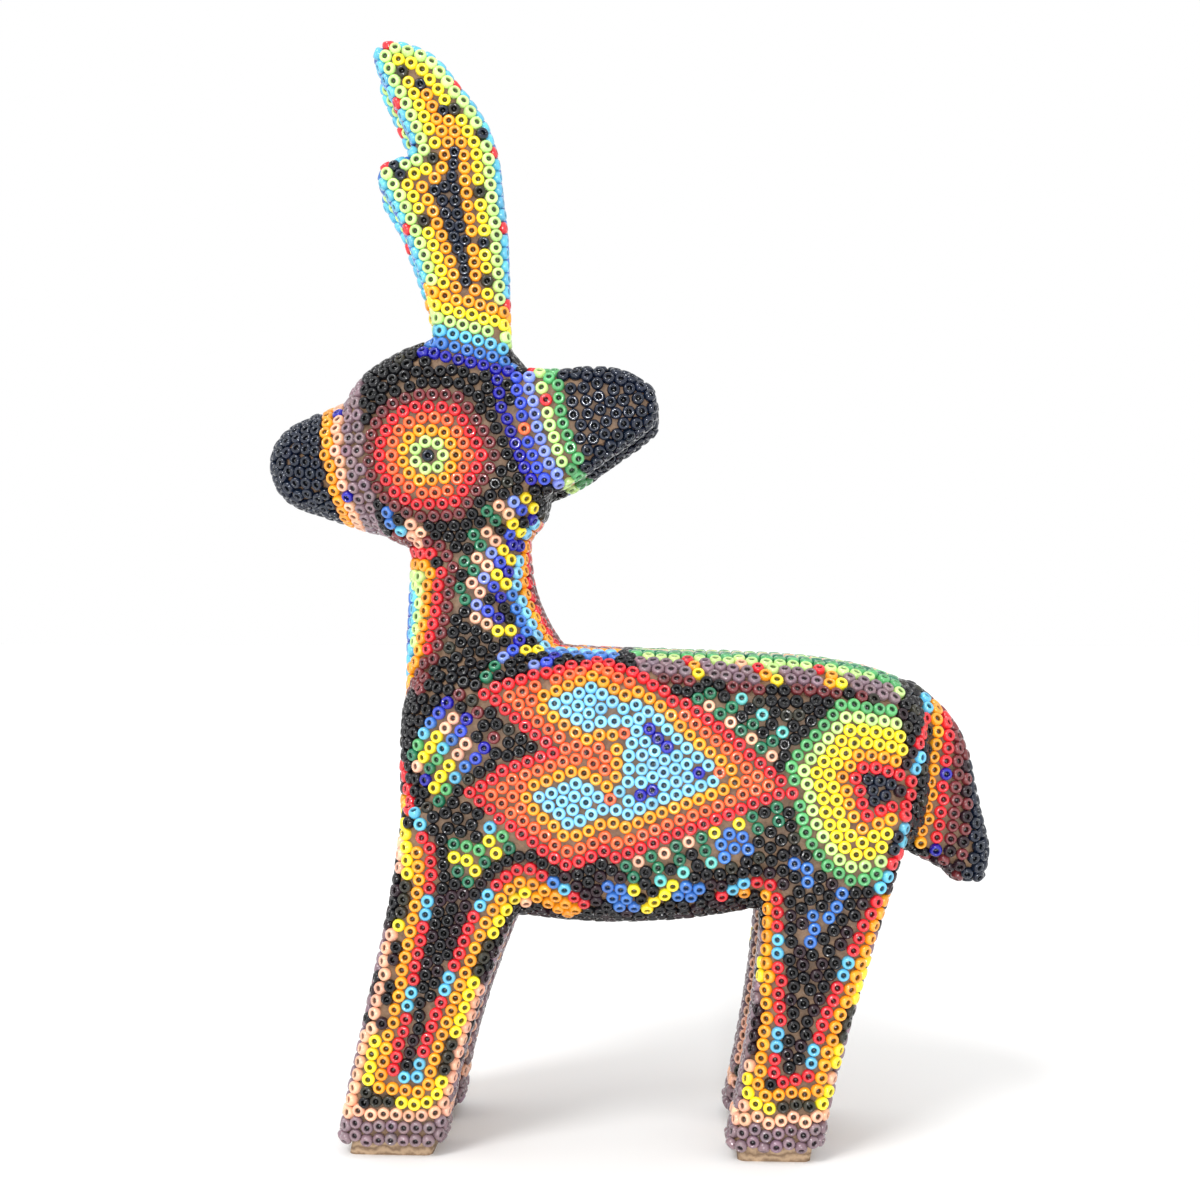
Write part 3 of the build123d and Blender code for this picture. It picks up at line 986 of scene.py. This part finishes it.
def bead_piece(name, members):
    """One object with these beads, coloured bead by bead with painted shade down each hole, with a material
    for each kind of glass.
    """
    shape, triangles, shade = bead_shape()
    middles, outs, colours, _ = zip(*members)
    first, second, third = frames_for(np.array(outs))
    scale = rng.normal(1.0, 0.022, (len(members), 1, 1)).clip(0.94, 1.05) * (BEAD / PROFILE_WIDTH)
    height = rng.normal(1.0, 0.05, len(members)).clip(0.88, 1.1)
    local = shape[None] * np.ones((len(members), 1, 1)) * scale
    local[..., 2] *= height[:, None]
    places = (
        np.array(middles)[:, None]
        + local[..., 0:1] * first[:, None]
        + local[..., 1:2] * second[:, None]
        + local[..., 2:3] * third[:, None]
    )
    faces = triangles[None] + (np.arange(len(members)) * len(shape))[:, None, None]
    mesh = make_mesh(name, places.reshape(-1, 3) * MM, faces.reshape(-1, 3))
    smooth(mesh)
    tint = np.array([PALETTE[c][0] for c in colours])
    tint = tint * rng.normal(1.0, 0.09, (len(members), 1)).clip(0.75, 1.25)
    tint = tint * rng.normal(1.0, 0.03, tint.shape)
    # each bead's own tint, times the painted shade of its rings, which is darker down the hole
    paint = np.ones((len(members), len(shape), 4), np.float32)
    paint[..., :3] = np.clip(tint[:, None] * shade[None, :, None], 0, 1)
    layer = mesh.color_attributes.new("bead_colour_and_hole_shade", "FLOAT_COLOR", "POINT")
    layer.data.foreach_set("color", paint.ravel())
    kinds = sorted({PALETTE[c][1] for c in colours})
    for kind in kinds:
        mesh.materials.append(GLASS[kind])
    index = np.array([kinds.index(PALETTE[c][1]) for c in colours], np.int32)
    mesh.polygons.foreach_set("material_index", np.repeat(index, len(triangles)))
    unroll(mesh, len(members), shape, triangles)
    return add_object(name, mesh)


def unroll(mesh, count, shape, triangles):
    """A compact layout for baking: each bead has a cell of the square, seen from above as a round face."""
    across = int(np.ceil(np.sqrt(count)))
    number = np.arange(count)
    corner = np.stack([number % across, number // across], 1) / across
    spot = np.zeros((len(shape), 2))
    for ring, radius in enumerate(np.linspace(1.0, 0.04, len(PROFILE))):
        for i in range(SEGMENTS):
            angle = 2 * pi * i / SEGMENTS
            spot[1 + ring * SEGMENTS + i] = radius * cos(angle), radius * sin(angle)
    flat = corner[:, None] + (0.5 + 0.44 * spot[None]) / across
    layer = mesh.uv_layers.new(name="OFBake")
    layer.data.foreach_set("uv", flat[:, triangles].reshape(-1, 2).astype(np.float32).ravel())


def node_material(name):
    material = bpy.data.materials.new(name)
    material.use_nodes = True
    tree = material.node_tree
    return material, tree, tree.nodes["Principled BSDF"]


def link(tree, source, target):
    tree.links.new(source, target)


def adjust(node, values):
    """Sets inputs of a node, by their names."""
    for name, value in values.items():
        node.inputs[name].default_value = value


def noise(tree, scale, detail=2.0, roughness=0.5):
    """Noise in the object's own place, so that it stays with the piece."""
    place = tree.nodes.new("ShaderNodeTexCoord")
    texture = tree.nodes.new("ShaderNodeTexNoise")
    adjust(texture, {"Scale": scale, "Detail": detail, "Roughness": roughness})
    link(tree, place.outputs["Object"], texture.inputs["Vector"])
    return texture


def spread(tree, source, low, high):
    """A noise value mapped to a range."""
    ramp = tree.nodes.new("ShaderNodeMapRange")
    adjust(ramp, {"From Min": 0.3, "From Max": 0.7, "To Min": low, "To Max": high})
    link(tree, source, ramp.inputs["Value"])
    return ramp.outputs["Result"]


def bump(tree, shader, source, strength, distance):
    relief = tree.nodes.new("ShaderNodeBump")
    adjust(relief, {"Strength": strength, "Distance": distance})
    link(tree, source, relief.inputs["Height"])
    link(tree, relief.outputs["Normal"], shader.inputs["Normal"])


def glass(kind, rough, coat, specular, milk=0.0, metallic=0.0):
    """Seed bead glass: each bead's own colour with painted shade down its hole, clouded a little, under a
    glossy melted surface.
    """
    material, tree, shader = node_material(f"bead_{kind}")
    # the point colours hold each bead's tint and the painted shade down its hole
    paint = tree.nodes.new("ShaderNodeVertexColor")
    paint.layer_name = "bead_colour_and_hole_shade"
    cloud = noise(tree, 900.0)
    shade = tree.nodes.new("ShaderNodeHueSaturation")
    link(tree, paint.outputs["Color"], shade.inputs["Color"])
    link(tree, spread(tree, cloud.outputs["Fac"], 0.88, 1.12), shade.inputs["Value"])
    link(tree, shade.outputs["Color"], shader.inputs["Base Color"])
    smear = noise(tree, 420.0, 4.0)
    link(tree, spread(tree, smear.outputs["Fac"], rough * 0.7, rough * 1.5), shader.inputs["Roughness"])
    bump(tree, shader, noise(tree, 1300.0, 3.0).outputs["Fac"], 0.12, 0.00012)
    adjust(shader, {"Metallic": metallic, "Specular IOR Level": specular})
    adjust(shader, {"Coat Weight": coat, "Coat Roughness": 0.04})
    if milk:
        adjust(shader, {"Subsurface Weight": milk, "Subsurface Radius": (0.0006, 0.0005, 0.0004)})
        adjust(shader, {"Subsurface Scale": 1.0})
    return material


def wood(name, dark, light):
    material, tree, shader = node_material(name)
    place = tree.nodes.new("ShaderNodeTexCoord")
    grain = tree.nodes.new("ShaderNodeTexWave")
    grain.bands_direction = "Z"
    adjust(grain, {"Scale": 260.0, "Distortion": 7.0, "Detail": 4.0, "Detail Scale": 2.0})
    link(tree, place.outputs["Object"], grain.inputs["Vector"])
    ramp = tree.nodes.new("ShaderNodeValToRGB")
    ramp.color_ramp.elements[0].color = (*dark, 1)
    ramp.color_ramp.elements[1].color = (*light, 1)
    link(tree, grain.outputs["Fac"], ramp.inputs["Fac"])
    link(tree, ramp.outputs["Color"], shader.inputs["Base Color"])
    fibre = noise(tree, 700.0, 6.0, 0.7)
    link(tree, spread(tree, fibre.outputs["Fac"], 0.62, 0.85), shader.inputs["Roughness"])
    bump(tree, shader, fibre.outputs["Fac"], 0.5, 0.0003)
    return material


def wax():
    """Beeswax and resin: tan, smeared, with a dull shine."""
    material, tree, shader = node_material("beeswax")
    smear = noise(tree, 380.0, 6.0, 0.65)
    ramp = tree.nodes.new("ShaderNodeValToRGB")
    ramp.color_ramp.elements[0].position = 0.3
    ramp.color_ramp.elements[0].color = (0.075, 0.040, 0.020, 1)
    ramp.color_ramp.elements[1].position = 0.72
    ramp.color_ramp.elements[1].color = (0.260, 0.155, 0.085, 1)
    link(tree, smear.outputs["Fac"], ramp.inputs["Fac"])
    link(tree, ramp.outputs["Color"], shader.inputs["Base Color"])
    link(tree, spread(tree, noise(tree, 800.0, 3.0).outputs["Fac"], 0.34, 0.6), shader.inputs["Roughness"])
    bump(tree, shader, noise(tree, 1500.0, 5.0, 0.7).outputs["Fac"], 0.6, 0.0003)
    return material


GLASS = {
    "glass": glass("glass", 0.16, 0.7, 0.4, milk=0.10),
    "dark": glass("dark", 0.10, 0.4, 0.25),
    "iris": glass("iris", 0.12, 0.5, 0.4, metallic=0.2),
    "pearl": glass("pearl", 0.22, 0.7, 0.4, milk=0.12, metallic=0.05),
}

# Each bead belongs to the CAD zone that it is nearest to
zone_names = sorted(name for name in nodes if name.startswith("beads_"))
zone_meshes = [nodes[name].data for name in zone_names]
zone_trees = [tree_of(points_of(mesh) / MM, triangles_of(mesh)) for mesh in zone_meshes]
members = {name: [] for name in zone_names}
for bead in beads:
    gaps = [zone.find_nearest(Vector(bead[0]))[3] for zone in zone_trees]
    members[zone_names[int(np.argmin(gaps))]].append(bead)
for name in zone_names:
    if members[name]:
        piece = bead_piece(f"{name}_glass", members[name])
        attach(piece, "root")
        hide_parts(name)

# The wax, which stands up between the beads
WAX_RELIEF = 0.07
WAX_DEPTH = 1.02  # below the finished surface
WAX_VOXEL = 0.9
wax_points, wax_quads = wrapped(nodes.values(), WAX_VOXEL)
wax_points = averaged(wax_points, wax_quads, 3, 0.5)
wax_normals = unit(averaged(normals_of(wax_points, wax_quads), wax_quads, 3, 0.6))
wax_points -= (WAX_DEPTH + rng.normal(0, WAX_RELIEF, (len(wax_points), 1))) * wax_normals
wax_mesh = make_mesh("wax", wax_points * MM, wax_quads)
smooth(wax_mesh)
wax_mesh.materials.append(wax())
wax_piece = add_object("beeswax_coat", wax_mesh)
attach(wax_piece, "root")
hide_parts("wax_coat")

WOOD = wood("carved_wood", (0.20, 0.125, 0.07), (0.42, 0.29, 0.18))
DOWEL = wood("dowel_wood", (0.42, 0.30, 0.18), (0.62, 0.48, 0.32))
for name, node in nodes.items():
    if name.endswith("_wood") or name.endswith("_peg") or name == "carved_body":
        node.data.materials.clear()
        node.data.materials.append(DOWEL if name.endswith("_peg") else WOOD)

# ---- floor, light, camera ----

REACH = 3  # from the deer to the floor's edges, in metres
floor_corners = [(-REACH, -REACH, 0), (REACH, -REACH, 0), (REACH, REACH, 0), (-REACH, REACH, 0)]
floor_mesh = make_mesh("floor", floor_corners, np.array([[0, 1, 2, 3]]))
floor = add_object("floor", floor_mesh)
paper, _, shader = node_material("pale_floor")
adjust(shader, {"Base Color": (0.93, 0.93, 0.925, 1), "Roughness": 0.9})
floor_mesh.materials.append(paper)

world = bpy.data.worlds.new("studio")
bpy.context.scene.world = world
world.use_nodes = True
adjust(world.node_tree.nodes["Background"], {"Color": (1.0, 1.0, 1.0, 1), "Strength": 1.0})
LIT = Vector((0.0, 0.0, 0.09))  # the middle of the deer, which the lamps are turned to


def lamp(name, kind, place, strength, size):
    """An area lamp of this size, or a sun of this angle."""
    data = bpy.data.lights.new(name, kind)
    data.energy = strength
    if kind == "SUN":
        data.angle = size
    else:
        data.size = size
    light = add_object(name, data)
    light.location = place
    light.rotation_euler = (LIT - Vector(place)).to_track_quat("-Z", "Y").to_euler()


lamp("key", "SUN", (-0.30, -0.45, 0.70), 1.4, radians(20))
lamp("front", "AREA", (0.02, -0.90, 0.14), 4.2, 0.08)

AIM = Vector((-0.005, 0.0, 0.0924))
AWAY = 0.290
TURN = radians(3)
camera_data = bpy.data.cameras.new("camera")
camera_data.lens = 50.0
camera_data.sensor_width = 36.0
camera_data.clip_start = 0.01
camera = add_object("camera", camera_data)
sight = Vector((-sin(TURN), cos(TURN), 0))
camera.location = AIM - AWAY * sight
camera.rotation_euler = sight.to_track_quat("-Z", "Y").to_euler()
bpy.context.scene.camera = camera
bpy.context.scene.view_settings.view_transform = "Standard"
